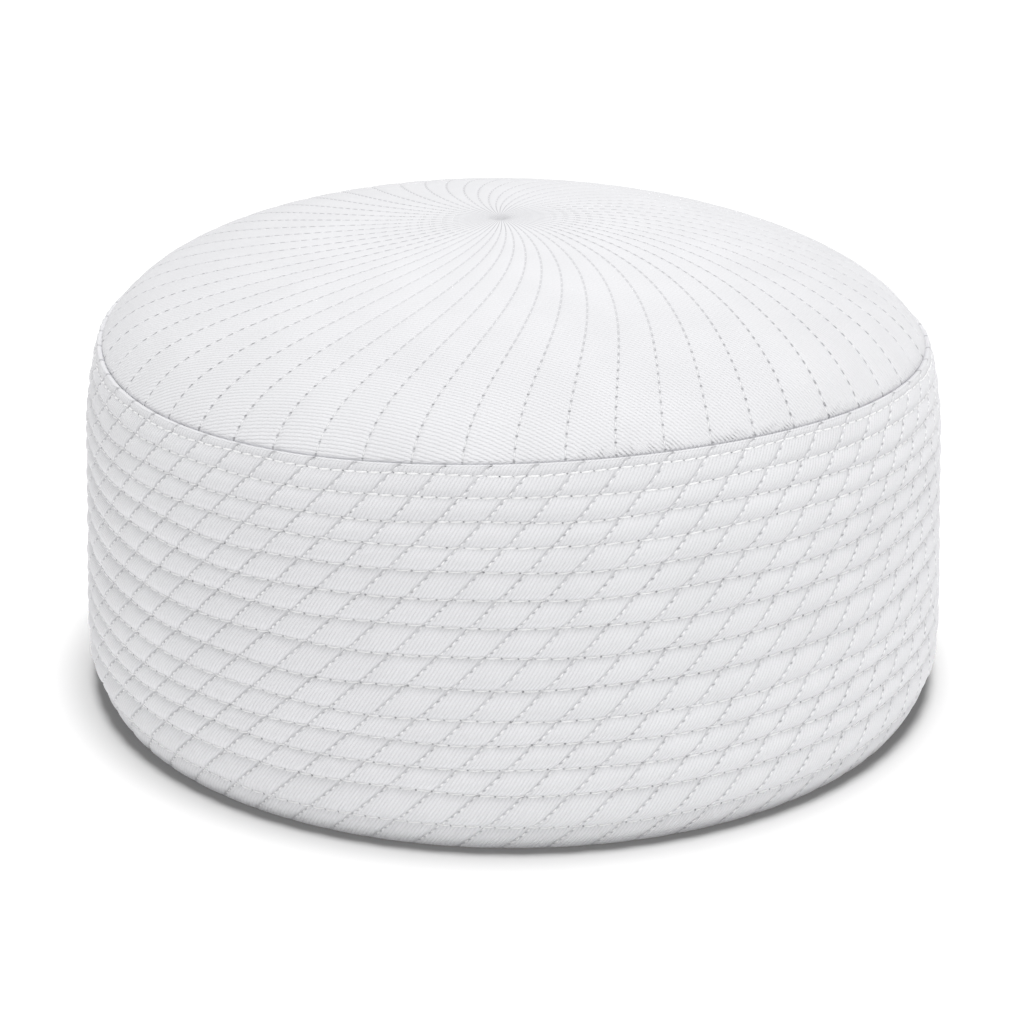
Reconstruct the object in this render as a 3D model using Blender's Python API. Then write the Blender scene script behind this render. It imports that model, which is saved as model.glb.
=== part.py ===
"""A padded kufi cap: a low quilted crown with swirling channels on an upright corded band.

Metres, +Z up, with the front at -Y. The cap stands on its lower edge at z = 0, centred on the origin.
An angle of 0 is the front and grows towards +X. A share of 0 is the band's foot and 1 is its seam.
"""

import math

import bmesh
import bpy

# Driving sizes of the band
SEAM_RADIUS = 0.0909     # circle on which the crown meets the band
BAND_HEIGHT = 0.0799     # floor to the seam, as a mean round the cap
BAND_BELLY = 0.0046      # how far the widest rib stands out beyond the seam
BAND_WALL = 0.0040       # from a rib's crest through the padding to the inner face
HEM_WIDTH = 0.0028       # flat ring that the cap rests on
RIB_FULLNESS = 0.19      # a rib's depth, as a share of its height
CELL_DEPTH = 0.0004      # crease of a slanting seam across a rib
SEAM_SLOPE = 1.06        # run of a slanting seam round the cap for each metre of rise
SEAM_COUNT = 62          # slanting seams round the band
SEAM_START = math.radians(2.8)    # where one of them meets the seam at the top

# Driving sizes of the crown
CROWN_RISE = 0.0200      # rolled shoulder to the middle of the crown
SHOULDER_RISE = 0.0047   # seam to the top of the rolled shoulder
CROWN_WALL = 0.0030      # quilted layers of the crown
CHANNEL_COUNT = 55       # channels of the swirl
CHANNEL_FULLNESS = 0.10  # a channel's depth, as a share of its width
SWIRL_TURN = math.radians(36.0)   # how far a channel turns between the seam and the middle
SWIRL_BEND = 1.3         # over 1, the turn gathers towards the middle
SWIRL_OFFSET_X = -0.0028 # middle of the swirl, sewn a little off the centre
SWIRL_OFFSET_Y = 0.0026

# Shape of the crown from the middle to the seam: a soft cone that rolls over into a shoulder
CONE_SHARE = 0.72
CONE_POWER = 1.9
ROLL_POWER = 4.6
SHOULDER_POWER = 20.0

# The crown is fuller towards the front and the right, by these shares of its rise at the seam
LEAN_FRONT = 0.156
LEAN_RIGHT = 0.065

# The seam rises and dips round the cap by shares of this height
SEAM_SWAY = 0.0040
SWAY_POWER = 1.5

# The crown's edge lies on the band's top edge with this gap between them
LEDGE_WIDTH = 0.0040
CLEARANCE = 0.0003

# Waves of the seam round the cap: number of waves, sine share and cosine share of SEAM_SWAY
SWAY_WAVES = (
    (1, -0.13, 1.00),
    (2, 0.42, 0.27),
    (3, 0.02, 0.03),
)

# Profile of the band: share of its height, share of BAND_BELLY beyond the seam's radius
BELLY_PROFILE = (
    (0.00, 0.10),
    (0.03, 0.40),
    (0.06, 0.69),
    (0.10, 0.93),
    (0.20, 1.00),
    (0.35, 0.93),
    (0.50, 0.83),
    (0.80, 0.68),
    (0.93, 0.36),
    (1.00, 0.00),
)

# Heights of the band's stitch lines from the foot up, hand sewn and so uneven, as shares of its height
STITCH_LINES = (
    0.073, 0.167, 0.235, 0.301, 0.366, 0.446, 0.527,
    0.602, 0.674, 0.743, 0.807, 0.865, 0.925, 0.977,
)

# Sections of the smooth inner faces
INNER_BAND_SHARES = (0.08, 0.32, 0.58, 0.82, 0.95)
OUTER_CROWN_SHARES = (0.985, 0.95, 0.88, 0.75, 0.58, 0.40, 0.24)
CORE_CROWN_SHARE = 0.10
INNER_CROWN_SHARES = (0.88, 0.70, 0.48, 0.24)

COTTON_COLOUR = (0.84, 0.84, 0.86, 1.0)
COTTON_ROUGHNESS = 0.9
SHARP_ANGLE = math.radians(50.0)


def interpolated(table, at):
    """The second column of a table at a value of its first, which rises from row to row."""
    for (x0, y0), (x1, y1) in zip(table, table[1:]):
        if at <= x1:
            return y0 + (y1 - y0) * (at - x0) / (x1 - x0)
    return table[-1][1]


def sway(angle):
    """Height of the seam above its mean, at an angle round the cap."""
    return SEAM_SWAY * sum(s * math.sin(n * angle) + c * math.cos(n * angle) for n, s, c in SWAY_WAVES)


def crest_radius(share):
    """Radius of the band's ribs at their crests."""
    return SEAM_RADIUS + BAND_BELLY * interpolated(BELLY_PROFILE, share)


def band_point(radius, share, angle):
    """A point of the band, whose upper part follows the seam's sway."""
    height = share * BAND_HEIGHT + share ** SWAY_POWER * sway(angle)
    return (radius * math.sin(angle), -radius * math.cos(angle), height)


def slant(share):
    """Turn of a slanting seam between the seam at the top and a height on the band."""
    run = (share - 1.0) * BAND_HEIGHT * SEAM_SLOPE
    return SEAM_START + run / (SEAM_RADIUS + BAND_BELLY)


def crown_height(share, angle):
    """Height of the crown's outer face at a share of the seam's radius."""
    drop = CONE_SHARE * share ** CONE_POWER + (1.0 - CONE_SHARE) * share ** ROLL_POWER
    lean = 1.0 + share * (LEAN_FRONT * math.cos(angle) + LEAN_RIGHT * math.sin(angle))
    shoulder = SHOULDER_RISE * (1.0 - share ** SHOULDER_POWER)
    seam = BAND_HEIGHT + CLEARANCE + sway(angle) * share ** 2
    return seam + CROWN_RISE * lean * (1.0 - drop) + shoulder


def crown_place(share, angle):
    """Plan of a point of the crown, at a share of the way from the swirl's middle to the seam."""
    edge = SEAM_RADIUS - CLEARANCE
    x = SWIRL_OFFSET_X * (1.0 - share) + share * edge * math.sin(angle)
    y = SWIRL_OFFSET_Y * (1.0 - share) - share * edge * math.cos(angle)
    return x, y


def crown_point(share, angle, below=0.0):
    """A point of the crown's outer face, or one that lies below it."""
    x, y = crown_place(share, angle)
    radius_share = min(1.0, math.hypot(x, y) / (SEAM_RADIUS - CLEARANCE))
    return (x, y, crown_height(radius_share, math.atan2(x, -y)) - below)


def swirl(share):
    """Turn of a channel of the crown at a share of the way from the middle to the seam."""
    return SWIRL_TURN * (1.0 - share) ** SWIRL_BEND


def angles(count, turn=0.0):
    """Angles of a ring's points, in order round the cap."""
    return [2.0 * math.pi * i / count + turn for i in range(count)]


def add_ring(mesh, points):
    """A ring of vertices, in order round the cap."""
    return [mesh.verts.new(point) for point in points]


def bearing(vertex):
    """Angle of a vertex round the cap."""
    return math.atan2(vertex.co.x, -vertex.co.y)


def bridge(mesh, fine, coarse):
    """Faces between two rings, of which the second has as many points as the first or half as many."""
    step = len(fine) // len(coarse)
    start = min(range(len(coarse)), key=lambda i: 1.0 - math.cos(bearing(coarse[i]) - bearing(fine[0])))
    coarse = coarse[start:] + coarse[:start]
    for i in range(len(coarse)):
        after = (i + 1) % len(coarse)
        edge = [fine[(i * step + k) % len(fine)] for k in range(step + 1)]
        mesh.faces.new(edge + [coarse[after], coarse[i]])


def close_with_point(mesh, ring, point):
    """A fan of faces from a ring to one point."""
    middle = mesh.verts.new(point)
    for i in range(len(ring)):
        mesh.faces.new((ring[i], ring[(i + 1) % len(ring)], middle))


def cotton(name):
    """White cotton, plain here."""
    material = bpy.data.materials.new(name)
    material.use_nodes = True
    shader = material.node_tree.nodes["Principled BSDF"]
    shader.inputs["Base Color"].default_value = COTTON_COLOUR
    shader.inputs["Roughness"].default_value = COTTON_ROUGHNESS
    shader.inputs["Metallic"].default_value = 0.0
    return material


def add_object(name, mesh, material):
    """An object of the scene from a finished mesh, smooth except at its sharp folds."""
    bmesh.ops.recalc_face_normals(mesh, faces=mesh.faces)
    data = bpy.data.meshes.new(name)
    mesh.to_mesh(data)
    mesh.free()
    data.shade_smooth()
    data.set_sharp_from_angle(angle=SHARP_ANGLE)
    data.materials.append(material)
    thing = bpy.data.objects.new(name, data)
    bpy.context.scene.collection.objects.link(thing)
    return thing


def rib_rows():
    """Rows of the band's outer face from the foot up: share, depth under the crest and whether it is a crest."""
    lines = (0.0,) + STITCH_LINES + (1.0,)
    rows = [(0.0, 0.0, False)]
    for low, high in zip(lines, lines[1:]):
        depth = RIB_FULLNESS * (high - low) * BAND_HEIGHT
        rows.append(((low + high) / 2.0, 0.0, True))
        rows.append((high, depth if high < 1.0 else 0.0, False))
    return rows


def make_band():
    """The upright wall: fourteen stitch lines round it, slanting seams across it and a folded edge at each end."""
    mesh = bmesh.new()
    columns = 2 * SEAM_COUNT

    outer = []
    for share, depth, crest in rib_rows():
        points = []
        for i, angle in enumerate(angles(columns, slant(share))):
            crease = CELL_DEPTH if crest and i % 2 == 0 else 0.0
            points.append(band_point(crest_radius(share) - depth - crease, share, angle))
        outer.append(add_ring(mesh, points))
    for lower, upper in zip(outer, outer[1:]):
        bridge(mesh, lower, upper)

    foot = [band_point(crest_radius(0.0) - HEM_WIDTH, 0.0, a) for a in angles(SEAM_COUNT)]
    inner = [add_ring(mesh, foot)]
    for share in INNER_BAND_SHARES:
        radius = crest_radius(share) - BAND_WALL
        inner.append(add_ring(mesh, [band_point(radius, share, a) for a in angles(SEAM_COUNT)]))
    ledge = [band_point(SEAM_RADIUS - LEDGE_WIDTH, 1.0, a) for a in angles(SEAM_COUNT)]
    inner.append(add_ring(mesh, ledge))
    for lower, upper in zip(inner, inner[1:]):
        bridge(mesh, lower, upper)

    bridge(mesh, outer[0], inner[0])
    bridge(mesh, outer[-1], inner[-1])
    return add_object("band", mesh, cotton("band_cotton"))


def make_crown():
    """The quilted top: channels that swirl from its middle to its edge, which lies on the band."""
    mesh = bmesh.new()
    columns = 2 * CHANNEL_COUNT

    edge = [crown_point(1.0, a) for a in angles(columns)]
    outer = [add_ring(mesh, edge)]
    for share in OUTER_CROWN_SHARES:
        channel_width = 2.0 * math.pi * share * SEAM_RADIUS / CHANNEL_COUNT
        depth = CHANNEL_FULLNESS * channel_width
        ring = []
        for i, angle in enumerate(angles(columns, swirl(share))):
            ring.append(crown_point(share, angle, depth if i % 2 == 0 else 0.0))
        outer.append(add_ring(mesh, ring))
    for wide, narrow in zip(outer, outer[1:]):
        bridge(mesh, wide, narrow)
    core = [crown_point(CORE_CROWN_SHARE, a) for a in angles(CHANNEL_COUNT, swirl(CORE_CROWN_SHARE))]
    core_ring = add_ring(mesh, core)
    bridge(mesh, outer[-1], core_ring)
    close_with_point(mesh, core_ring, crown_point(0.0, 0.0))

    ledge_share = (SEAM_RADIUS - LEDGE_WIDTH) / (SEAM_RADIUS - CLEARANCE)
    ledge = []
    for angle in angles(CHANNEL_COUNT):
        x, y = crown_place(ledge_share, angle)
        ledge.append((x, y, BAND_HEIGHT + CLEARANCE + sway(angle)))
    inner = [add_ring(mesh, ledge)]
    for share in INNER_CROWN_SHARES:
        inner.append(add_ring(mesh, [crown_point(share, a, CROWN_WALL) for a in angles(CHANNEL_COUNT)]))
    for wide, narrow in zip(inner, inner[1:]):
        bridge(mesh, wide, narrow)
    close_with_point(mesh, inner[-1], crown_point(0.0, 0.0, CROWN_WALL))

    bridge(mesh, outer[0], inner[0])
    return add_object("crown", mesh, cotton("crown_cotton"))


def clear_scene():
    """Removes what the scene holds at the start."""
    for thing in list(bpy.data.objects):
        bpy.data.objects.remove(thing, do_unlink=True)


clear_scene()
make_band()
make_crown()
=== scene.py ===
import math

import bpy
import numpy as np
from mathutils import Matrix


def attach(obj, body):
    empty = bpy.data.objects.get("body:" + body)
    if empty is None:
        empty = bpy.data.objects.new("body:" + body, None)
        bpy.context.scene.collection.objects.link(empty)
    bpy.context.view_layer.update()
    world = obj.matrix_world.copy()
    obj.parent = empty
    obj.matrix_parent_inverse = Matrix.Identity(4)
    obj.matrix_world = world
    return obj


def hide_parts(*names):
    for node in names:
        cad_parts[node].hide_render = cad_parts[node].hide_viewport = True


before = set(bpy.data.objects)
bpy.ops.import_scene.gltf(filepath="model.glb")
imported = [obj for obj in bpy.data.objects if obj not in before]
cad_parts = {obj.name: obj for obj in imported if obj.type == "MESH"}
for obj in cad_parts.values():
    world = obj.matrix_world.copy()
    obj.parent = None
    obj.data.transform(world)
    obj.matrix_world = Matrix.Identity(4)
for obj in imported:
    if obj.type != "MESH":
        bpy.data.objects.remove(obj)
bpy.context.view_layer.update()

# Kufi cap: twill covers for the band and the crown, and the stitches on them.
# Metres, +Z up, front at -Y. An angle of 0 is the front and grows towards +X.
# A share of 0 is the band's foot or the crown's middle, and 1 is the seam where they meet.

# Sizes of the solids, which the covers follow
SEAM_RADIUS = 0.0909
BAND_HEIGHT = 0.0799
BAND_BELLY = 0.0046
BAND_WALL = 0.0040
HEM_WIDTH = 0.0028
SEAM_SLOPE = 1.06
SEAM_COUNT = 62
SEAM_START = math.radians(2.8)
CROWN_RISE = 0.0200
SHOULDER_RISE = 0.0047
CROWN_WALL = 0.0030
CHANNEL_COUNT = 55
SWIRL_TURN = math.radians(36.0)
SWIRL_BEND = 1.3
SWIRL_OFFSET_X = -0.0028
SWIRL_OFFSET_Y = 0.0026
CONE_SHARE = 0.72
CONE_POWER = 1.9
ROLL_POWER = 4.6
SHOULDER_POWER = 20.0
LEAN_FRONT = 0.156
LEAN_RIGHT = 0.065
SEAM_SWAY = 0.0040
SWAY_POWER = 1.5
LEDGE_WIDTH = 0.0040
CLEARANCE = 0.0003

# Waves of the seam round the cap: number of waves, sine share and cosine share of SEAM_SWAY
SWAY_WAVES = (
    (1, -0.13, 1.00),
    (2, 0.42, 0.27),
    (3, 0.02, 0.03),
)

# Profile of the band: share of its height, share of BAND_BELLY beyond the seam's radius
BELLY_PROFILE = (
    (0.00, 0.10),
    (0.03, 0.40),
    (0.06, 0.69),
    (0.10, 0.93),
    (0.20, 1.00),
    (0.35, 0.93),
    (0.50, 0.83),
    (0.80, 0.68),
    (0.93, 0.36),
    (1.00, 0.00),
)

# Heights of the stitch lines, as shares of the band's height, with the foot and the top edge
STITCH_LINES = (
    0.0, 0.073, 0.167, 0.235, 0.301, 0.366, 0.446, 0.527,
    0.602, 0.674, 0.743, 0.807, 0.865, 0.925, 0.977, 1.0,
)

# Relief of the band
ROPE_FULLNESS = 0.165     # depth of a stitch line, as a share of the lower row beside it
ROPE_POWER = 1.05
FOOT_LIFT = 0.00012       # the outer edge of the foot lies just above the floor
VALLEY_HALF = 0.00026     # half width of the level strip under the row stitches
CREST_PLACE = 0.44        # place of a row's crest, up from its lower stitch line
CREASE_DEPTH = 0.00032    # crease of a slanting seam over a row's crest
CREASE_WIDTH = 0.00040
SEAM_SIDE = 0.00024       # the stitches of a slanting seam lie to the right of its crease
CREASE_POWER = 1.2
VALLEY_CREASE = 0.55      # share of a crease's depth that is left in the valleys
EDGE_BUMPS = 0.00010      # small bumps of the folded strip along the top edge
EDGE_SHARE = 0.97         # height from which the bumps grow
PILLOW_DEPTH = 0.00022    # fall of a cell towards the seams at its ends
LINE_WANDER = 0.00022     # hand guiding of a stitch line

# Samples across one cell, as shares of its width, close together at the seam
CELL_SAMPLES = (0.0, 0.022, 0.052, 0.11, 0.26, 0.50, 0.74, 0.89, 0.948, 0.978)

# Samples across a row, close together at its stitch lines
ROW_SAMPLES = (0.0, 0.035, 0.080, 0.16, 0.28, 0.44, 0.63, 0.80, 0.905, 0.960)
HEM_SAMPLES = (0.0, 0.10, 0.28, 0.50, 0.72, 0.88, 0.965)
EDGE_SAMPLES = (0.0, 0.12, 0.36, 0.62, 0.84)

# Relief of the crown
CHANNEL_DEPTH = 0.00010   # fall of a channel towards its seams, at the rim
CHANNEL_CREASE = 0.00018
CHANNEL_CREASE_WIDTH = 0.00028
CHANNEL_FULL_FROM = 0.85
GATHER_DEPTH = 0.00010
GATHER_FROM = 0.90
GATHER_FULL_FROM = 0.98
MIDDLE_DIP = 0.0005
MIDDLE_DIP_WIDTH = 0.0016
CROWN_EDGE = SEAM_RADIUS - 0.0011
GATHERS = 11.0            # gathers of a channel where the crown rolls over to its seam
GATHER_REACH = 0.0034
CHANNEL_SAMPLES = (
    0.0, 0.018, 0.045, 0.09, 0.16, 0.26, 0.38,
    0.50, 0.62, 0.74, 0.84, 0.91, 0.955, 0.982,
)

# Threads: a pitch is the length of one stitch with its gap
THREAD_RADIUS = 0.00018
ROW_PITCH = 0.0033
SEAM_PITCH = 0.0020
SWIRL_PITCH = 0.0026
SEAM_STITCHES_PER_PITCH = 1.1
ROW_SHOWN = 0.88          # share of a pitch that the thread covers
SEAM_SHOWN = 0.46
SWIRL_SHOWN_FLAT = 0.34
SWIRL_SHOWN_RIM = 0.60
SWIRL_RIM_FROM = 0.75     # share of the crown where its stitches get longer
ROW_STITCH_TILT = 0.06    # rise of a row's stitch along it, with its spread
ROW_STITCH_SPREAD = 0.03
MARK_ROW_HEIGHT = 0.070 * BAND_HEIGHT     # usual height of a row, for marks beside its lines

# Pitch on each stitch line, from the hem's line upwards
ROW_PITCHES = (
    0.0031, 0.0033, 0.0033, 0.0034, 0.0034, 0.0034, 0.0034,
    0.0038, 0.0038, 0.0037, 0.0036, 0.0029, 0.0031, 0.0028,
)

TURN = 2.0 * math.pi
WEAVE_RADIUS = SEAM_RADIUS + BAND_BELLY   # radius at which the band's cloth is measured
SLANT_STRETCH = math.hypot(1.0, SEAM_SLOPE)
ROW_COUNT = len(STITCH_LINES) - 1
LAST_ROW = ROW_COUNT - 1
CELL_ANGLE = TURN / SEAM_COUNT
CELL_WIDTH = CELL_ANGLE * WEAVE_RADIUS / SLANT_STRETCH
CHANNEL_ANGLE = TURN / CHANNEL_COUNT

rng = np.random.RandomState(7)


def sway(angle):
    """Height of the seam above its mean."""
    waves = (s * np.sin(n * angle) + c * np.cos(n * angle) for n, s, c in SWAY_WAVES)
    return SEAM_SWAY * sum(waves)


def crest_radius(share):
    """Radius of the band's rows at their crests."""
    table = np.array(BELLY_PROFILE)
    return SEAM_RADIUS + BAND_BELLY * np.interp(share, table[:, 0], table[:, 1])


def slant(share):
    """Angle of a slanting seam at a height on the band."""
    run = (share - 1.0) * BAND_HEIGHT * SEAM_SLOPE
    return SEAM_START + run / WEAVE_RADIUS


def band_place(radius, share, angle):
    """Points of the band, whose upper part follows the seam's sway."""
    x, y = radius * np.sin(angle), -radius * np.cos(angle)
    height = share * BAND_HEIGHT + np.abs(share) ** SWAY_POWER * sway(angle)
    return np.stack(np.broadcast_arrays(x, y, height), axis=-1)


# Each stitch line wanders by a few slow waves of its own
WANDER_WAVES = np.array([2, 5, 9, 14])
wander_phase = rng.uniform(0.0, TURN, (len(STITCH_LINES), len(WANDER_WAVES)))
wander_size = rng.uniform(0.3, 1.0, (len(STITCH_LINES), len(WANDER_WAVES)))
wander_size[0] = wander_size[-1] = 0.0


def line_share(line, angle):
    """Height of a stitch line as a share, with its wander."""
    waves = np.sin(WANDER_WAVES * angle[..., None] + wander_phase[line]) * wander_size[line]
    return STITCH_LINES[line] + LINE_WANDER / BAND_HEIGHT * waves.sum(axis=-1)


def band_share(row, across, angle):
    """Share of the height at a row and a place across it, 0 at its lower line and 1 at its upper."""
    return line_share(row, angle) * (1.0 - across) + line_share(row + 1, angle) * across


row_heights = np.diff(STITCH_LINES) * BAND_HEIGHT

# Depth of each stitch line. The foot and the top edge have none of their own.
lower_rows = np.minimum(row_heights[:-1], row_heights[1:])
line_depths = ROPE_FULLNESS * np.concatenate([[0.0], lower_rows, [0.0]])

# Stitches round each line, and where on it the first one starts
stitch_counts = [round(TURN * WEAVE_RADIUS / pitch) for pitch in ROW_PITCHES]
line_stitches = np.array([1] + stitch_counts + [1])
line_starts = rng.uniform(0.0, 1.0, len(STITCH_LINES))

# How far each cell between two slanting seams is padded
cell_fullness = rng.uniform(0.75, 1.2, (len(STITCH_LINES), SEAM_COUNT + 1))


def band_surface(row, across, cell):
    """Points of the band's outer face, with their shares and angles.

    cell counts slanting seams, and its whole numbers lie on them.
    """
    cell = np.asarray(cell, float)
    nominal = STITCH_LINES[row] * (1.0 - across) + STITCH_LINES[row + 1] * across
    angle = slant(nominal) + cell * CELL_ANGLE
    for _ in range(2):
        share = band_share(row, across, angle)
        angle = slant(share) + cell * CELL_ANGLE
    within = cell - np.floor(cell)
    lower = across < CREST_PLACE
    from_line = row_heights[row] * (across if lower else 1.0 - across)
    half = row_heights[row] * (CREST_PLACE if lower else 1.0 - CREST_PLACE)
    rise = np.clip((from_line - VALLEY_HALF) / (half - VALLEY_HALF), 0.0, 1.0)
    full = (1.0 - (1.0 - rise) ** 2) ** ROPE_POWER
    depth = line_depths[row] if lower else line_depths[row + 1]
    near_edge = max(0.0, float(np.mean(share)) - EDGE_SHARE) / (1.0 - EDGE_SHARE)
    bumps = EDGE_BUMPS * np.sin(2.0 * SEAM_COUNT * angle + 1.3 * np.sin(5.0 * angle)) * near_edge
    away = np.minimum(within, 1.0 - within) * CELL_WIDTH
    crease = np.exp(-(away / CREASE_WIDTH) ** CREASE_POWER)
    own = cell_fullness[row][np.floor(cell).astype(int) % SEAM_COUNT]
    pillow = np.abs(2.0 * within - 1.0) ** 3 * own
    sunk = (CREASE_DEPTH * crease + PILLOW_DEPTH * pillow) * (VALLEY_CREASE + (1.0 - VALLEY_CREASE) * full)
    radius = crest_radius(share) + bumps - depth * (1.0 - full) - sunk
    return band_place(radius, share, angle), share, angle


def crown_height(share, angle):
    """Height of the crown's outer face at a share of the seam's radius."""
    drop = CONE_SHARE * share ** CONE_POWER + (1.0 - CONE_SHARE) * share ** ROLL_POWER
    lean = 1.0 + share * (LEAN_FRONT * np.cos(angle) + LEAN_RIGHT * np.sin(angle))
    shoulder = SHOULDER_RISE * (1.0 - share ** SHOULDER_POWER)
    seam = BAND_HEIGHT + CLEARANCE + sway(angle) * share ** 2
    return seam + CROWN_RISE * lean * (1.0 - drop) + shoulder


def crown_base(share, angle, below=0.0):
    """Points of the crown before its channels."""
    x = SWIRL_OFFSET_X * (1.0 - share) + share * CROWN_EDGE * np.sin(angle)
    y = SWIRL_OFFSET_Y * (1.0 - share) - share * CROWN_EDGE * np.cos(angle)
    radius_share = np.minimum(1.0, np.hypot(x, y) / CROWN_EDGE)
    z = crown_height(radius_share, np.arctan2(x, -y)) - below
    return np.stack(np.broadcast_arrays(x, y, z), axis=-1)


def swirl(share):
    """Turn of a channel at a share of the way from the middle to the seam."""
    return SWIRL_TURN * (1.0 - share) ** SWIRL_BEND


def crown_surface(share, channel):
    """Points of the crown's outer face, with their angles.

    channel counts swirling seams, and its whole numbers lie on them.
    """
    share, channel = np.broadcast_arrays(np.asarray(share, float), np.asarray(channel, float))
    angle = channel * CHANNEL_ANGLE + swirl(share)
    step = 1e-3
    place = crown_base(share, angle)
    further, nearer = np.minimum(share + step, 1.0), np.maximum(share - step, 0.0)
    along = crown_base(further, angle) - crown_base(nearer, angle)
    off_middle = np.maximum(share, 0.02)
    around = crown_base(off_middle, angle + step) - crown_base(off_middle, angle - step)
    normal = np.cross(around, along)
    normal /= np.maximum(np.linalg.norm(normal, axis=-1, keepdims=True), 1e-12)
    normal *= np.sign(normal[..., 2:3] + 1e-9)
    within = channel - np.floor(channel)
    away = np.minimum(within, 1.0 - within) * CHANNEL_ANGLE * share * CROWN_EDGE
    size = np.clip(share / CHANNEL_FULL_FROM, 0.0, 1.0)
    puff = CHANNEL_DEPTH * size * (2.0 * within - 1.0) ** 2
    sharp = np.exp(-(away / CHANNEL_CREASE_WIDTH) ** CREASE_POWER)
    crease = CHANNEL_CREASE * np.clip(share * 3.0, 0.0, 1.0) * sharp
    rim = np.clip((share - GATHER_FROM) / (GATHER_FULL_FROM - GATHER_FROM), 0.0, 1.0)
    gathers = GATHER_DEPTH * rim * np.cos(4.0 * TURN * within + 3.0 * np.sin(7.0 * angle))
    dip = MIDDLE_DIP * np.exp(-(share * CROWN_EDGE / MIDDLE_DIP_WIDTH) ** 2)
    return place + normal * (-(puff + crease) + gathers - dip)[..., None], angle


def mesh_of(name, vertices, faces):
    """A smooth mesh whose faces all have the same number of corners."""
    corners = faces.shape[1]
    mesh = bpy.data.meshes.new(name)
    mesh.vertices.add(len(vertices))
    mesh.vertices.foreach_set("co", vertices.reshape(-1).astype(np.float32))
    mesh.loops.add(faces.size)
    mesh.loops.foreach_set("vertex_index", faces.reshape(-1).astype(np.int32))
    mesh.polygons.add(len(faces))
    mesh.polygons.foreach_set("loop_start", np.arange(0, faces.size, corners, dtype=np.int32))
    mesh.polygons.foreach_set("loop_total", np.full(len(faces), corners, dtype=np.int32))
    mesh.update(calc_edges=True)
    mesh.polygons.foreach_set("use_smooth", np.ones(len(faces), dtype=bool))
    return mesh


def grid_mesh(name, points, maps, closed):
    """A mesh from rows x columns of points that close round the cap, with maps of one column more.

    Where it is closed, its last row joins its first.
    """
    rows, columns = points.shape[:2]
    r = np.arange(rows if closed else rows - 1)
    after = (r + 1) % rows
    c = np.arange(columns)
    right = (c + 1) % columns
    quads = np.stack([
        r[:, None] * columns + c[None, :],
        r[:, None] * columns + right[None, :],
        after[:, None] * columns + right[None, :],
        after[:, None] * columns + c[None, :],
    ], axis=-1).reshape(-1, 4)
    mesh = mesh_of(name, points.reshape(-1, 3), quads)
    mesh.validate()
    for map_name, values in maps.items():
        layer = mesh.uv_layers.new(name=map_name)
        low, top = values[r], values[after]
        corner = np.stack([low[:, :-1], low[:, 1:], top[:, 1:], top[:, :-1]], axis=2)
        layer.data.foreach_set("uv", corner.reshape(-1).astype(np.float32))
    return mesh


def add_piece(name, mesh, material, node=None):
    """A piece of the cap, riding on its one body."""
    mesh.materials.append(material)
    piece = bpy.data.objects.new(name, mesh)
    bpy.context.scene.collection.objects.link(piece)
    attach(piece, "root")
    if node:
        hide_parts(node)
    return piece


class Nodes:
    """A short way to write a material's nodes."""

    def __init__(self, name):
        self.material = bpy.data.materials.new(name)
        self.material.use_nodes = True
        self.tree = self.material.node_tree
        self.shader = self.tree.nodes["Principled BSDF"]

    def put(self, socket, value):
        if isinstance(value, bpy.types.NodeSocket):
            self.tree.links.new(value, socket)
        else:
            socket.default_value = value

    def math(self, operation, a, b=0.0, c=0.0):
        node = self.tree.nodes.new("ShaderNodeMath")
        node.operation = operation
        for socket, value in zip(node.inputs, (a, b, c)):
            self.put(socket, value)
        return node.outputs[0]

    def uv(self, name):
        node = self.tree.nodes.new("ShaderNodeUVMap")
        node.uv_map = name
        split = self.tree.nodes.new("ShaderNodeSeparateXYZ")
        self.put(split.inputs[0], node.outputs[0])
        return node.outputs[0], split.outputs[0], split.outputs[1]

    def mix(self, share, first, second, blend="MIX"):
        node = self.tree.nodes.new("ShaderNodeMix")
        node.data_type = "RGBA"
        node.blend_type = blend
        for index, item in ((0, share), (6, first), (7, second)):
            self.put(node.inputs[index], item)
        return node.outputs[2]

    def noise(self, vector, scale, detail=2.0):
        node = self.tree.nodes.new("ShaderNodeTexNoise")
        self.put(node.inputs["Vector"], vector)
        node.inputs["Scale"].default_value = scale
        node.inputs["Detail"].default_value = detail
        return node.outputs[0]

    def ramp(self, value, low, high, out_low, out_high, smooth=True):
        node = self.tree.nodes.new("ShaderNodeMapRange")
        node.interpolation_type = "SMOOTHSTEP" if smooth else "LINEAR"
        for socket, item in zip(node.inputs, (value, low, high, out_low, out_high)):
            self.put(socket, item)
        return node.outputs[0]

    def near_whole(self, value, pitch):
        """Distance in metres from the nearest whole number of a coordinate that counts steps of a pitch."""
        part = self.math("FRACT", value)
        return self.math("MULTIPLY", self.math("MINIMUM", part, self.math("SUBTRACT", 1.0, part)), pitch)

    def length(self, a, b):
        squares = self.math("ADD", self.math("MULTIPLY", a, a), self.math("MULTIPLY", b, b))
        return self.math("SQRT", squares)

    def bump(self, height, distance, strength=1.0, normal=None):
        node = self.tree.nodes.new("ShaderNodeBump")
        node.inputs["Strength"].default_value = strength
        node.inputs["Distance"].default_value = distance
        self.put(node.inputs["Height"], height)
        if normal is not None:
            self.put(node.inputs["Normal"], normal)
        return node.outputs[0]


COTTON = (0.865, 0.865, 0.885, 1.0)
SHADED = (0.36, 0.36, 0.38, 1.0)
THREAD_LIGHT = (0.97, 0.97, 0.97, 1.0)
THREAD_DARK = (0.92, 0.92, 0.93, 1.0)
ROW_HOLE = 0.00020        # radii of the needle holes
SEAM_HOLE = 0.00019
SEAM_HOLE_STRETCH = 1.6   # the holes of a slanting seam are longer along it
PUCKER_DEPTH = 0.00012

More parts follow.
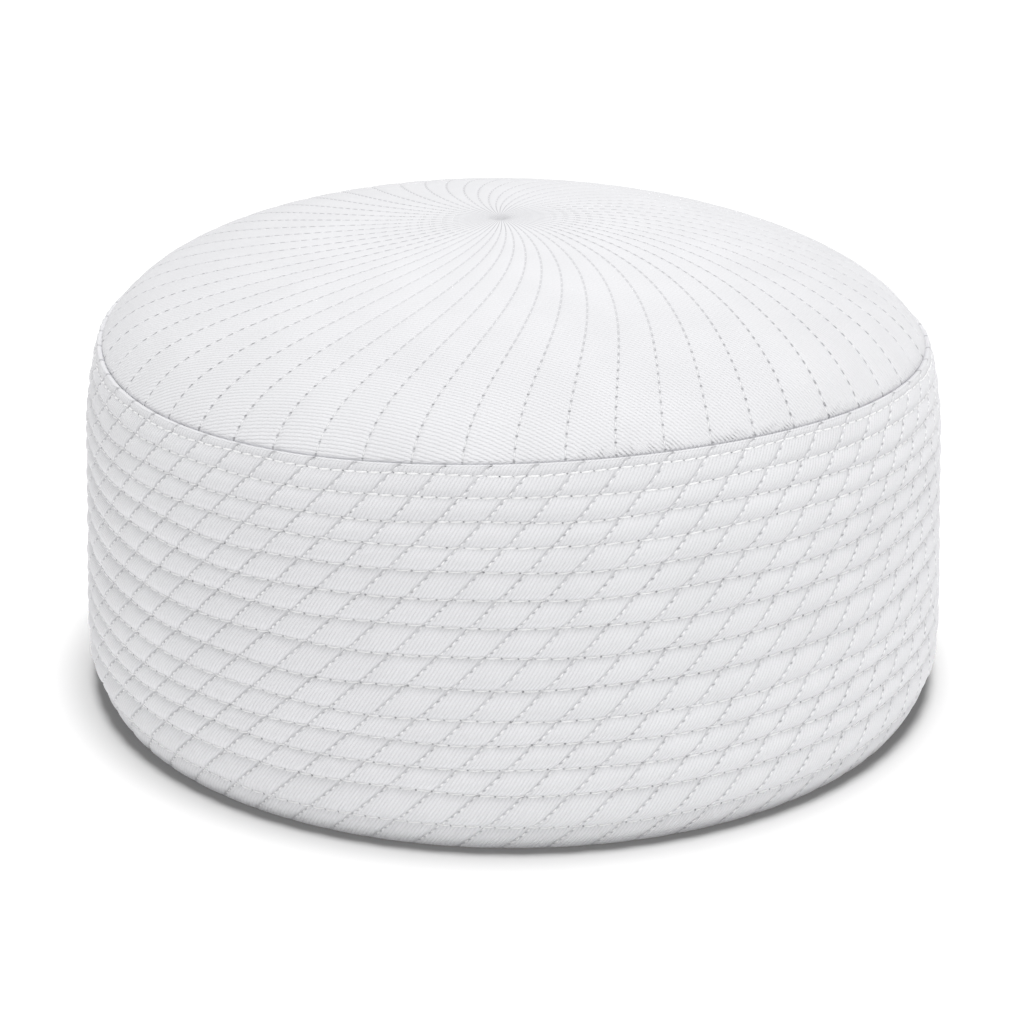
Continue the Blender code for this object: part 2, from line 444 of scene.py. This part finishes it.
# Shade on the cloth. Each ramp gives where it starts and ends, and its strength at both.
ROW_SHADE = (0.0001, 0.0010, 0.06, 0.0)        # distance from a stitch line
UNDERSIDE_SHADE = (0.0002, 0.0026, 0.10, 0.0)  # distance above a stitch line
# painted shade of the slanting seams, stronger on the cap's left than at its front
SEAM_SHADE_SIDES = (-0.95, -0.10, 0.46, 0.24)         # from the cap's left side to its front
SEAM_SHADE_REACH = 0.00050
MIDDLE_SHADE = (0.0004, 0.0040, 0.36, 0.0)     # distance from the crown's middle
# painted shade of the crown's seams, stronger at the cap's sides
SIDE_SEAM_SHADE = (0.40, 0.90, 0.0, 1.0)             # 0 is the front or the back, and 1 a side
FLAT_END, RIM_START = 0.62, 0.88               # shares where a seam's dashes change to needle holes
GATHER_PATCHES = (0.38, 0.55, 0.2, 1.0)
GATHER_SIDE = (-0.030, 0.010, 0.0, 1.0)        # from the cap's left to its right
# painted shade in the folds of the gathers at the crown's rim
FOLD_SHADE = 0.26
WEAVE_CLEAR = (0.30, 0.92, 0.30, 1.0)          # the weave shows better towards the crown's rim


def twill(n, cloth, along, up, angle, pitch):
    """Height of a twill weave: slanting ribs, each broken up by its yarns."""
    wobble = n.math("MULTIPLY", n.math("SUBTRACT", n.noise(cloth, 700.0), 0.5), 0.28)
    sideways = n.math("MULTIPLY", along, -math.sin(angle) / pitch)
    upwards = n.math("MULTIPLY", up, math.cos(angle) / pitch)
    rib = n.math("ADD", n.math("ADD", sideways, upwards), wobble)
    ridge = n.math("ABSOLUTE", n.math("SINE", n.math("MULTIPLY", rib, math.pi)))
    yarn = n.math("ADD", n.math("MULTIPLY", up, 1.0 / (0.62 * pitch)), n.math("MULTIPLY", rib, 0.5))
    beads = n.math("ABSOLUTE", n.math("SINE", n.math("MULTIPLY", yarn, math.pi)))
    return n.math("MULTIPLY_ADD", beads, 0.25, ridge)


def cotton(name, angle, pitch, weave_depth, weave_shade, marks):
    """White cotton twill.

    marks gives the painted shade of creases and needle holes, the height of small puckers,
    and how clearly the weave shows.
    """
    n = Nodes(name)
    cloth, along, up = n.uv("cloth")
    weave = twill(n, cloth, along, up, angle, pitch)
    painted_shade, hollow, clear = marks(n, cloth)
    weave = n.math("MULTIPLY", weave, clear)
    blotch = n.ramp(n.noise(cloth, 60.0, 3.0), 0.3, 0.7, 0.97, 1.0)
    fleck = n.ramp(n.noise(cloth, 2500.0, 1.0), 0.3, 0.8, 0.96, 1.0)
    # Painted shade in the hollows between the weave's ribs
    between_ribs = n.math("MULTIPLY_ADD", clear, -weave_shade, 1.0)
    valley = n.ramp(weave, 0.0, n.math("MULTIPLY", clear, 0.7), between_ribs, 1.0)
    shade = n.math("MULTIPLY", n.math("MULTIPLY", blotch, fleck), valley)
    # Painted shade: SHADED is mixed in where the marks darken creases, needle holes and folds
    colour = n.mix(1.0, n.mix(painted_shade, COTTON, SHADED), shade, "MULTIPLY")
    n.put(n.shader.inputs["Base Color"], colour)
    n.put(n.shader.inputs["Normal"], n.bump(weave, weave_depth, 1.0, n.bump(hollow, PUCKER_DEPTH)))
    n.put(n.shader.inputs["Roughness"], n.ramp(weave, 0.0, 1.2, 0.95, 0.84))
    n.shader.inputs["Specular IOR Level"].default_value = 0.25
    n.shader.inputs["Sheen Weight"].default_value = 0.12
    n.shader.inputs["Sheen Roughness"].default_value = 0.5
    return n.material


def needle_marks(n, line_distance, phase, pitch, radius, stretch=1.0):
    """Holes on a stitch line, where the thread goes down, as a mask for their painted shade and puckers."""
    reach = n.length(line_distance, n.math("DIVIDE", n.near_whole(phase, pitch), stretch))
    return n.ramp(reach, radius * 0.5, radius * 1.4, 1.0, 0.0)


def band_marks(n, cloth):
    """Marks of the band: painted shade in its needle holes and along its stitch lines and slanting seams,
    and the puckers of the holes.
    """
    _, cells, rows = n.uv("seams")
    _, round_cap, _ = n.uv("cloth")
    _, row_phase, seam_phase = n.uv("stitches")
    from_row = n.near_whole(rows, MARK_ROW_HEIGHT)
    from_crease = n.near_whole(cells, CELL_WIDTH)
    from_seam = n.near_whole(n.math("SUBTRACT", cells, SEAM_SIDE / CELL_WIDTH), CELL_WIDTH)
    # Painted shade in the needle holes; the same mask sinks them as puckers
    row_holes = needle_marks(n, from_row, row_phase, ROW_PITCH, ROW_HOLE)
    seam_holes = needle_marks(n, from_seam, seam_phase, SEAM_PITCH, SEAM_HOLE, SEAM_HOLE_STRETCH)
    seam_holes = n.math("MULTIPLY", seam_holes, 0.7)
    uneven = n.ramp(n.noise(cloth, 220.0), 0.35, 0.65, 0.45, 0.95)
    shaded_holes = n.math("MULTIPLY", n.math("MAXIMUM", row_holes, seam_holes), uneven)
    # The underside of a row gets painted shade, and the slanting seams get more painted shade on the cap's
    # left
    above_line = n.math("MULTIPLY", n.math("FRACT", rows), MARK_ROW_HEIGHT)
    row_line = n.math("MAXIMUM", n.ramp(from_row, *ROW_SHADE), n.ramp(above_line, *UNDERSIDE_SHADE))
    leftwards = n.math("SINE", n.math("MULTIPLY", round_cap, 1.0 / WEAVE_RADIUS))
    seam_shade_strength = n.ramp(leftwards, *SEAM_SHADE_SIDES)
    seam_line = n.ramp(from_crease, 0.0, SEAM_SHADE_REACH, seam_shade_strength, 0.0)
    painted_shade = n.math("MAXIMUM", n.math("MAXIMUM", row_line, seam_line), shaded_holes)
    hollow = n.math("SUBTRACT", 1.0, shaded_holes)
    return painted_shade, hollow, 1.0


def crown_marks(n, cloth):
    """Marks of the crown: the painted dark dashes and painted shade of its seams, and the gathers at its
    rim with painted shade in their folds.
    """
    _, channels, phase = n.uv("seams")
    _, width, rim = n.uv("stitches")
    _, right, back = n.uv("cloth")
    square = n.math("MULTIPLY_ADD", back, back, 1e-8)     # never nought, for the division below
    from_middle = n.math("SQRT", n.math("MULTIPLY_ADD", right, right, square))
    # The seams' painted shade and dashes are stronger at the cap's sides than at its front and back
    sideways = n.math("DIVIDE", n.math("ABSOLUTE", right), from_middle)
    side_seam_shade = n.ramp(sideways, *SIDE_SEAM_SHADE)
    from_seam = n.near_whole(channels, width)
    # The painted dark dash between two stitches is longer near the middle and shrinks to the shade of a
    # needle hole at the rim
    dash = n.ramp(rim, FLAT_END, RIM_START, 0.25, n.math("MULTIPLY_ADD", side_seam_shade, 0.15, 0.05))
    beside = n.near_whole(phase, 1.0)
    ends = n.ramp(beside, n.math("MULTIPLY", dash, 0.8), n.math("MULTIPLY_ADD", dash, 1.2, 0.03), 1.0, 0.0)
    thin = n.math("MINIMUM", n.math("MULTIPLY", width, 0.12), 0.00016)
    edge = n.ramp(from_seam, thin, n.math("MULTIPLY", thin, 1.9), 1.0, 0.0)
    flat_strength = n.math("MULTIPLY_ADD", side_seam_shade, 0.34, 0.20)
    strength = n.ramp(rim, FLAT_END, RIM_START, flat_strength, 0.70)
    strength = n.math("MULTIPLY", strength, n.ramp(rim, 0.04, 0.20, 0.2, 1.0))
    shaded_holes = n.math("MULTIPLY", n.math("MULTIPLY", ends, edge), strength)

    # The seams' painted shade is stronger towards the back and where they meet in the middle
    reach = n.math("MINIMUM", n.math("MULTIPLY", width, 0.20), 0.00032)
    line_tone = n.ramp(rim, 0.02, 0.16, 0.85, n.ramp(back, 0.010, 0.050, 0.32, 0.56))
    line = n.ramp(from_seam, 0.0, reach, line_tone, 0.0)
    line = n.math("MAXIMUM", line, n.ramp(from_middle, *MIDDLE_SHADE))

    # Gathers stand in patches along the rim, and fade out towards the cap's left; their folds get painted
    # shade
    from_rim = n.math("MULTIPLY", n.math("ABSOLUTE", phase), SWIRL_PITCH)
    patches = n.ramp(n.noise(cloth, 24.0), *GATHER_PATCHES)
    near_rim = n.math("MULTIPLY", n.ramp(from_rim, 0.0, GATHER_REACH, 1.0, 0.0), patches)
    near_rim = n.math("MULTIPLY", near_rim, n.ramp(right, *GATHER_SIDE))
    uneven = n.math("MULTIPLY", n.noise(cloth, 300.0), 1.6)
    turn = n.math("MULTIPLY_ADD", channels, GATHERS, n.math("MULTIPLY_ADD", phase, 2.3, uneven))
    gather = n.math("ABSOLUTE", n.math("SINE", n.math("MULTIPLY", turn, math.pi)))
    fold = n.math("MULTIPLY", n.math("SUBTRACT", 1.0, gather), near_rim)
    hollow = n.math("SUBTRACT", 1.0, n.math("ADD", shaded_holes, n.math("MULTIPLY", fold, 0.9)))
    fold_shade = n.math("MULTIPLY", n.math("POWER", fold, 2.0), FOLD_SHADE)
    painted_shade = n.math("MAXIMUM", n.math("MAXIMUM", shaded_holes, line), fold_shade)
    clear = n.ramp(rim, *WEAVE_CLEAR)
    return painted_shade, hollow, clear


def thread(name):
    """White twisted sewing thread."""
    n = Nodes(name)
    place = n.tree.nodes.new("ShaderNodeTexCoord").outputs["Object"]
    twist = n.noise(place, 6000.0, 1.0)
    n.put(n.shader.inputs["Normal"], n.bump(twist, 0.00004))
    n.put(n.shader.inputs["Base Color"], n.mix(twist, THREAD_LIGHT, THREAD_DARK))
    n.shader.inputs["Roughness"].default_value = 0.6
    n.shader.inputs["Sheen Weight"].default_value = 0.1
    return n.material


def arc_lengths(points):
    """Length along each column of points from the first row."""
    steps = np.linalg.norm(np.diff(points, axis=0), axis=-1)
    return np.concatenate([np.zeros((1, points.shape[1])), np.cumsum(steps, axis=0)])


def stitches_up(row):
    """Stitches of a slanting seam across one row."""
    return max(1, round(row_heights[row] * SLANT_STRETCH * SEAM_STITCHES_PER_PITCH / SEAM_PITCH))


def columns_of(count, samples):
    """Columns round the cap: the samples within each of its parts, and the first one again at the end."""
    inner = (np.arange(count)[:, None] + np.array(samples)[None, :]).reshape(-1)
    return np.append(inner, float(count))


def row_samples(row):
    """Samples across a row. The foot and the top edge have their own."""
    return {0: HEM_SAMPLES, LAST_ROW: EDGE_SAMPLES}.get(row, ROW_SAMPLES)


def row_counted(row, across):
    """Count of rows at a place.

    The foot and the top edge are no stitch lines, so they stay off whole numbers.
    """
    return {0: 0.3 + 0.7 * across, LAST_ROW: LAST_ROW + 0.7 * across}.get(row, row + across)


# Rings over the top edge: how far inside the seam's radius, and how far below the edge
EDGE_RINGS = (
    (0.00010, 0.00012), (0.00040, 0.00000), (0.00072, 0.00008),
    (0.00098, 0.00022), (0.00116, 0.00036), (LEDGE_WIDTH, 0.00060),
)
INSIDE_SHARES = (0.95, 0.82, 0.58, 0.32, 0.08)


def make_band():
    cells = columns_of(SEAM_COUNT, CELL_SAMPLES)
    points, cloth, seams, phases = [], [], [], []
    for row in range(ROW_COUNT):
        for b in row_samples(row):
            place, share, angle = band_surface(row, b, cells)
            line = row if b < 0.5 else row + 1
            phase = angle * line_stitches[line] / TURN + line_starts[line]
            points.append(place)
            cloth.append(np.stack([angle * WEAVE_RADIUS, share * BAND_HEIGHT], axis=-1))
            seams.append(np.stack([cells, np.full_like(cells, row_counted(row, b))], axis=-1))
            phases.append(np.stack([phase, np.full_like(cells, b * stitches_up(row))], axis=-1))

    def ring(radius, share, seam_share, lift=0.0):
        turn = slant(seam_share) + cells * CELL_ANGLE
        place = band_place(np.full_like(cells, radius), np.full_like(cells, share), turn)
        place[..., 2] += lift
        return place

    extra = [ring(SEAM_RADIUS - inside, 1.0, 1.0, -below) for inside, below in EDGE_RINGS]
    upper = len(extra)
    extra.append(extra[-1])
    for share in INSIDE_SHARES:
        extra.append(ring(float(crest_radius(share)) - BAND_WALL, share, share))
    foot_radius = float(crest_radius(0.0))
    extra.append(ring(foot_radius - HEM_WIDTH, 0.004, 0.0))
    extra.append(ring(foot_radius - HEM_WIDTH + 0.0004, 0.0, 0.0))
    extra.append(ring(foot_radius - 0.0003, 0.0, 0.0))
    count = len(points)
    points = np.array(points + extra)
    points[0, :, 2] = FOOT_LIFT

    # Over the top edge the cloth runs on, and inside it is counted up from the foot again
    radii = np.hypot(points[:, 0, 0], points[:, 0, 1])
    steps = np.hypot(np.diff(radii), np.diff(points[:, 0, 2]))
    for k, place in enumerate(extra):
        turn = np.unwrap(np.arctan2(place[:, 0], -place[:, 1]))
        if k < upper:
            height = BAND_HEIGHT + steps[count - 1:count + k].sum()
            counted, seam_phase = ROW_COUNT - 0.5, 1.0
        else:
            height = -steps[count + k:].sum()
            counted, seam_phase = 0.4, 0.5
        cloth.append(np.stack([turn * WEAVE_RADIUS, np.full_like(cells, height)], axis=-1))
        seams.append(np.stack([cells, np.full_like(cells, counted)], axis=-1))
        phases.append(np.stack([np.full_like(cells, 0.5), np.full_like(cells, seam_phase)], axis=-1))
    maps = {"cloth": np.array(cloth), "seams": np.array(seams), "stitches": np.array(phases)}
    return grid_mesh("band_cover", points[:, :-1], maps, True)


band_cotton = cotton("band_cotton_twill", angle=math.radians(56.0), pitch=0.00070,
                     weave_depth=0.00010, weave_shade=0.12, marks=band_marks)
band = add_piece("band_cover", make_band(), band_cotton, "band")


UNDER_SHARES = (0.01, 0.10, 0.24, 0.48, 0.70, 0.88)


def make_crown():
    channels = columns_of(CHANNEL_COUNT, CHANNEL_SAMPLES)
    # Rings of the outer face from the rim to the middle, close together at both
    shares = np.concatenate([
        np.linspace(1.0, 0.965, 9)[:-1],
        np.linspace(0.965, 0.88, 12)[:-1],
        np.linspace(0.88, 0.06, 64)[:-1],
        np.array([0.06, 0.045, 0.03, 0.018, 0.008, 0.0005]),
    ])
    place, angle = crown_surface(shares[:, None], channels[None, :])
    rim_angle = channels * CHANNEL_ANGLE + swirl(1.0)

    def ring(radius, lift):
        height = BAND_HEIGHT + sway(rim_angle) + lift
        return np.stack([radius * np.sin(rim_angle), -radius * np.cos(rim_angle), height], axis=-1)

    inner = [ring(SEAM_RADIUS - LEDGE_WIDTH, -0.0001), ring(CROWN_EDGE - 0.0001, -0.0005)]
    under = [crown_base(np.full_like(channels, share), rim_angle, CROWN_WALL) for share in UNDER_SHARES]
    points = np.array(under + inner + list(place))
    first = len(under) + len(inner)
    turns = np.concatenate([np.broadcast_to(rim_angle, (first, len(channels))), angle])

    # The outer face's weave is measured from the middle, and the underside's from the rim inwards
    outer_lengths = arc_lengths(place[::-1])[::-1]
    under_steps = arc_lengths(points[:first + 1][::-1])[::-1][:first]
    flat = np.concatenate([np.maximum(outer_lengths[:1] - under_steps, 0.0), outer_lengths])
    along = np.concatenate([-under_steps, arc_lengths(place)])
    under_shares = np.hypot(points[:first, 0, 0], points[:first, 0, 1]) / CROWN_EDGE
    all_shares = np.concatenate([under_shares, shares])
    width = CHANNEL_ANGLE * all_shares * CROWN_EDGE
    sizes = [np.broadcast_to(values[:, None], along.shape) for values in (width, all_shares)]
    maps = {
        "cloth": np.stack([flat * np.sin(turns), -flat * np.cos(turns)], axis=-1),
        "seams": np.stack([np.broadcast_to(channels, along.shape), along / SWIRL_PITCH], axis=-1),
        "stitches": np.stack(sizes, axis=-1),
    }
    return grid_mesh("crown_cover", points[:, :-1], maps, False)


crown_cotton = cotton("crown_cotton_twill", angle=math.radians(-27.0), pitch=0.00081,
                      weave_depth=0.00011, weave_shade=0.09, marks=crown_marks)
crown = add_piece("crown_cover", make_crown(), crown_cotton, "crown")


# One stitch: places along it from -1 to 1, each with the share of the thread's radius there
STITCH_RINGS = ((-0.82, 0.72), (-0.35, 1.0), (0.35, 1.0), (0.82, 0.72))
STITCH_SIDES = 6


def stitch_mesh(name, centres, ways, normals, lengths, radius, lift, sink):
    """Many stitches in one mesh: short bowed threads whose ends go down into the cloth."""
    ways = ways / np.linalg.norm(ways, axis=-1, keepdims=True)
    sides = np.cross(normals, ways)
    sides /= np.linalg.norm(sides, axis=-1, keepdims=True)
    normals = np.cross(ways, sides)
    turn = (TURN * np.arange(STITCH_SIDES) / STITCH_SIDES)[None, :, None]
    circle = np.cos(turn) * sides[:, None, :] + np.sin(turn) * normals[:, None, :]

    def spine(at):
        rise = lift - (lift + sink) * at * at
        return (centres + ways * (lengths * 0.5 * at)[:, None] + normals * rise)[:, None, :]

    rings = [spine(at) + circle * radius * size for at, size in STITCH_RINGS]
    vertices = np.concatenate(rings + [spine(-1.0), spine(1.0)], axis=1)
    per = vertices.shape[1]
    around = np.arange(STITCH_SIDES)
    after = (around + 1) % STITCH_SIDES
    faces = []
    for k in range(len(STITCH_RINGS) - 1):
        a, b = k * STITCH_SIDES, (k + 1) * STITCH_SIDES
        faces.append(np.stack([a + around, a + after, b + after], axis=-1))
        faces.append(np.stack([a + around, b + after, b + around], axis=-1))
    last = (len(STITCH_RINGS) - 1) * STITCH_SIDES
    faces.append(np.stack([after, around, np.full(STITCH_SIDES, per - 2)], axis=-1))
    faces.append(np.stack([last + around, last + after, np.full(STITCH_SIDES, per - 1)], axis=-1))
    faces = np.concatenate(faces)
    triangles = (faces[None] + (np.arange(len(centres)) * per)[:, None, None]).reshape(-1, 3)
    return mesh_of(name, vertices.reshape(-1, 3), triangles)


class Stitches:
    """Places, directions and lengths of stitches, which become one piece."""

    def __init__(self, name, thickness, lift, sink):
        self.name = name
        self.radius = THREAD_RADIUS * thickness
        self.lift = lift
        self.sink = sink
        self.parts = []

    def add(self, *part):
        self.parts.append(part)

    def mesh(self):
        joined = map(np.concatenate, zip(*self.parts))
        return stitch_mesh(self.name, *joined, self.radius, self.lift, self.sink)


def row_stitches(name):
    made = Stitches(name, 1.0, 0.00009, 0.00010)
    for line in range(1, ROW_COUNT):
        count = line_stitches[line]
        pitch = TURN * WEAVE_RADIUS / count
        angle = (np.arange(count) + 0.5 - line_starts[line]) * TURN / count
        cell = (angle - slant(line_share(line, angle))) / CELL_ANGLE
        low, here, high = (band_surface(line, 0.0, cell + step)[0] for step in (-0.02, 0.0, 0.02))
        out = here * np.array([1.0, 1.0, 0.0])
        out /= np.linalg.norm(out, axis=-1, keepdims=True)
        way = high - low
        way /= np.linalg.norm(way, axis=-1, keepdims=True)
        way[:, 2] += ROW_STITCH_TILT + rng.normal(0.0, ROW_STITCH_SPREAD, count)
        made.add(here, way, out, pitch * ROW_SHOWN * rng.uniform(0.94, 1.06, count))
    return made.mesh()


def seam_stitches(name):
    made = Stitches(name, 0.85, 0.00005, 0.00018)
    cells = np.arange(SEAM_COUNT) + SEAM_SIDE / CELL_WIDTH
    for row in range(ROW_COUNT):
        count = stitches_up(row)
        for k in range(count):
            b = (k + 0.5) / count
            if row == 0 and b < 0.3:
                continue
            here = band_surface(row, b, cells)[0]
            low = band_surface(row, max(b - 0.05, 0.0), cells)[0]
            high = band_surface(row, min(b + 0.05, 1.0), cells)[0]
            way = high - low
            around = np.stack([-here[:, 1], here[:, 0], np.zeros(len(cells))], axis=-1)
            out = np.cross(around, way)
            out /= np.linalg.norm(out, axis=-1, keepdims=True)
            made.add(here, way, out, SEAM_PITCH * SEAM_SHOWN * rng.uniform(0.8, 1.2, len(cells)))
    return made.mesh()


def swirl_stitches(name):
    made = Stitches(name, 0.60, 0.00003, 0.00014)
    shares = np.linspace(1.0, 0.0, 400)
    line = crown_surface(shares, np.zeros(len(shares)))[0]
    steps = np.linalg.norm(np.diff(line, axis=0), axis=-1)
    run = np.concatenate([[0.0], np.cumsum(steps)])
    count = int(0.92 * run[-1] / SWIRL_PITCH)
    channels = np.arange(CHANNEL_COUNT) + 0.0
    for share in np.interp((np.arange(count) + 0.5) * SWIRL_PITCH, run, shares):
        here = crown_surface(share, channels)[0]
        low = crown_surface(share - 0.004, channels)[0]
        high = crown_surface(min(share + 0.004, 1.0), channels)[0]
        beside = crown_surface(share, channels + 0.5)[0] - crown_surface(share, channels - 0.5)[0]
        way = high - low
        out = np.cross(beside, way)
        out *= np.sign(out[:, 2:3])
        out /= np.linalg.norm(out, axis=-1, keepdims=True)
        # Stitches show less thread on the flat of the crown, and least at its middle
        shown = SWIRL_SHOWN_RIM if share >= SWIRL_RIM_FROM else SWIRL_SHOWN_FLAT * min(1.0, share / 0.4)
        made.add(here, way, out, SWIRL_PITCH * shown * rng.uniform(0.93, 1.07, len(channels)))
    return made.mesh()


white_thread = thread("white_thread_twist")
# The threads lie in the cloth and throw no shadow on it
thread_makers = {
    "row_stitches": row_stitches,
    "seam_stitches": seam_stitches,
    "swirl_stitches": swirl_stitches,
}
cap_pieces = [band, crown]
for name, build in thread_makers.items():
    stitches = add_piece(name, build(name), white_thread, None)
    stitches.visible_shadow = False
    stitches.visible_diffuse = False
    cap_pieces.append(stitches)


# Floor, light and camera
FLOOR_HALF = 3.0
FLOOR_ALBEDO = 0.15       # dark enough to throw little light back on the cap, and lit on its own
WORLD_LIGHT = 0.54

floor_corners = [(x * FLOOR_HALF, y * FLOOR_HALF, 0.0) for x, y in ((-1, -1), (1, -1), (1, 1), (-1, 1))]
floor_mesh = bpy.data.meshes.new("floor")
floor_mesh.from_pydata(floor_corners, [], [(0, 1, 2, 3)])
floor_look = Nodes("floor_white")
floor_look.shader.inputs["Base Color"].default_value = (FLOOR_ALBEDO, FLOOR_ALBEDO, FLOOR_ALBEDO, 1.0)
floor_look.shader.inputs["Roughness"].default_value = 0.9
floor_look.shader.inputs["Specular IOR Level"].default_value = 0.0
floor_mesh.materials.append(floor_look.material)
floor = bpy.data.objects.new("floor", floor_mesh)
bpy.context.scene.collection.objects.link(floor)

world = bpy.data.worlds.new("studio")
bpy.context.scene.world = world
world.use_nodes = True
background = world.node_tree.nodes["Background"]
background.inputs["Color"].default_value = (1.0, 1.0, 1.0, 1.0)
background.inputs["Strength"].default_value = WORLD_LIGHT


def group(name, members):
    made = bpy.data.collections.new(name)
    for member in members:
        made.objects.link(member)
    return made


def sun(name, tilt, bearing, spread, strength, receivers, blockers):
    """Soft even light on some objects only, shaded by some objects only.

    tilt and bearing turn it from straight above, and spread is its angle across, in degrees.
    """
    lamp = bpy.data.lights.new(name, "SUN")
    lamp.angle = math.radians(spread)
    lamp.energy = strength * math.pi
    thing = bpy.data.objects.new(name, lamp)
    bpy.context.scene.collection.objects.link(thing)
    thing.rotation_euler = (0.0, math.radians(tilt), math.radians(bearing))
    thing.light_linking.receiver_collection = group(name + "_receivers", receivers)
    thing.light_linking.blocker_collection = group(name + "_blockers", blockers)


sun("key_light", tilt=11.0, bearing=-50.0, spread=30.0, strength=0.585,
    receivers=cap_pieces, blockers=cap_pieces)
sun("bounce_light", tilt=180.0, bearing=0.0, spread=110.0, strength=0.17,
    receivers=cap_pieces, blockers=cap_pieces)
sun("floor_light", tilt=2.0, bearing=0.0, spread=25.0, strength=6.6,
    receivers=[floor], blockers=cap_pieces)
sun("floor_fill", tilt=0.0, bearing=0.0, spread=10.0, strength=0.7,
    receivers=[floor], blockers=[floor])

CAMERA_LENS = 137.5
CAMERA_PLACE = (-0.00035, -0.8034, 0.3800)
CAMERA_TILT = 66.83       # from straight down
camera_data = bpy.data.cameras.new("camera")
camera_data.lens = CAMERA_LENS
camera_data.sensor_width = 36.0
camera_data.clip_start = 0.05
camera_data.clip_end = 20.0
camera = bpy.data.objects.new("camera", camera_data)
camera.location = CAMERA_PLACE
camera.rotation_euler = (math.radians(CAMERA_TILT), 0.0, 0.0)
bpy.context.scene.collection.objects.link(camera)
bpy.context.scene.camera = camera

scene = bpy.context.scene
scene.view_settings.view_transform = "Standard"
scene.view_settings.look = "None"
scene.view_settings.exposure = 0.0
scene.view_settings.gamma = 1.0
